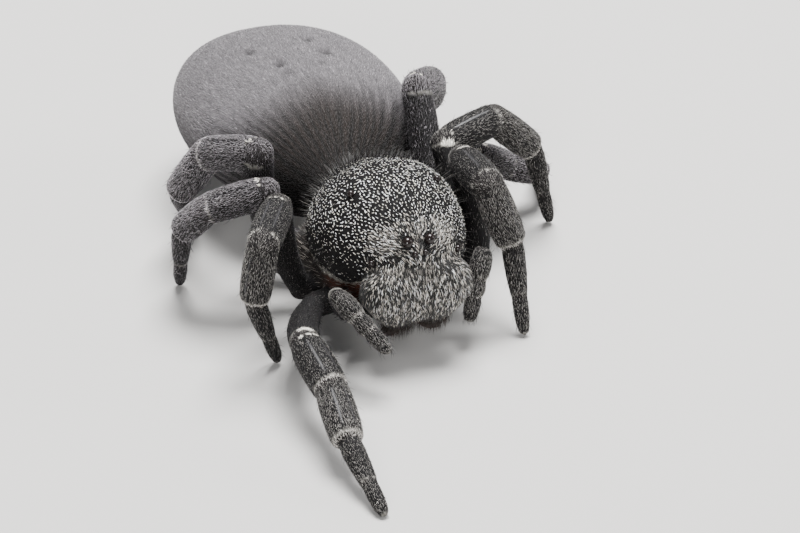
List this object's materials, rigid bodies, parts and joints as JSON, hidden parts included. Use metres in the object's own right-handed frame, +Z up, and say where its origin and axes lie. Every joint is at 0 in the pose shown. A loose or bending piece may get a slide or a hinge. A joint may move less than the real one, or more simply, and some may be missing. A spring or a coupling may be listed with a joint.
{
  "type": "ladybird spider model",
  "caption": "Life-size still model of a female ladybird spider: velvet black body, pale-flecked domed head, stout arched legs, one front leg reached forward.",
  "frame": {"origin": "On the floor, under the middle of the spider's bounding box.", "axes": "+Z is up, the head faces -Y, and the spider's own left side is +X."},
  "size_m": [0.0146, 0.0236, 0.0057],
  "materials": {
    "carapace_coat": "black velvet hair over the dome, thickly flecked with short cream-white hairs",
    "face_coat": "black under a dense grey-beige bristly coat",
    "abdomen_coat": "short close velvet, grey-lilac sheen on top, brown-black below",
    "leg_coat": "black, short grey hairs along each length, cream-white patches and red-brown membrane at the joints",
    "eye": "glossy black",
    "fang": "glossy dark red-brown"
  },
  "bodies": {
    "root": {"abdomen": "abdomen_coat", "carapace": "carapace_coat", "chelicera_left": "face_coat", "chelicera_right": "face_coat", "eye_front_middle_left": "eye", "eye_front_middle_right": "eye", "eye_front_side_left": "eye", "eye_front_side_right": "eye", "eye_rear_middle_left": "eye", "eye_rear_middle_right": "eye", "eye_rear_side_left": "eye", "eye_rear_side_right": "eye", "fang_left": "fang", "fang_right": "fang", "leg_left_1_coxa": "leg_coat", "leg_left_1_femur": "leg_coat", "leg_left_1_foot": "leg_coat", "leg_left_1_patella": "leg_coat", "leg_left_1_tibia": "leg_coat", "leg_left_2_coxa": "leg_coat", "leg_left_2_femur": "leg_coat", "leg_left_2_foot": "leg_coat", "leg_left_2_patella": "leg_coat", "leg_left_2_tibia": "leg_coat", "leg_left_3_coxa": "leg_coat", "leg_left_3_femur": "leg_coat", "leg_left_3_foot": "leg_coat", "leg_left_3_patella": "leg_coat", "leg_left_3_tibia": "leg_coat", "leg_left_4_coxa": "leg_coat", "leg_left_4_femur": "leg_coat", "leg_left_4_foot": "leg_coat", "leg_left_4_patella": "leg_coat", "leg_left_4_tibia": "leg_coat", "leg_right_1_coxa": "leg_coat", "leg_right_1_femur": "leg_coat", "leg_right_1_foot": "leg_coat", "leg_right_1_patella": "leg_coat", "leg_right_1_tibia": "leg_coat", "leg_right_2_coxa": "leg_coat", "leg_right_2_femur": "leg_coat", "leg_right_2_foot": "leg_coat", "leg_right_2_patella": "leg_coat", "leg_right_2_tibia": "leg_coat", "leg_right_3_coxa": "leg_coat", "leg_right_3_femur": "leg_coat", "leg_right_3_foot": "leg_coat", "leg_right_3_patella": "leg_coat", "leg_right_3_tibia": "leg_coat", "leg_right_4_coxa": "leg_coat", "leg_right_4_femur": "leg_coat", "leg_right_4_foot": "leg_coat", "leg_right_4_patella": "leg_coat", "leg_right_4_tibia": "leg_coat", "palp_left_lower": "leg_coat", "palp_left_upper": "leg_coat", "palp_right_lower": "leg_coat", "palp_right_upper": "leg_coat", "spinnerets": "abdomen_coat", "sternum": "leg_coat"}
  },
  "joints": []
}
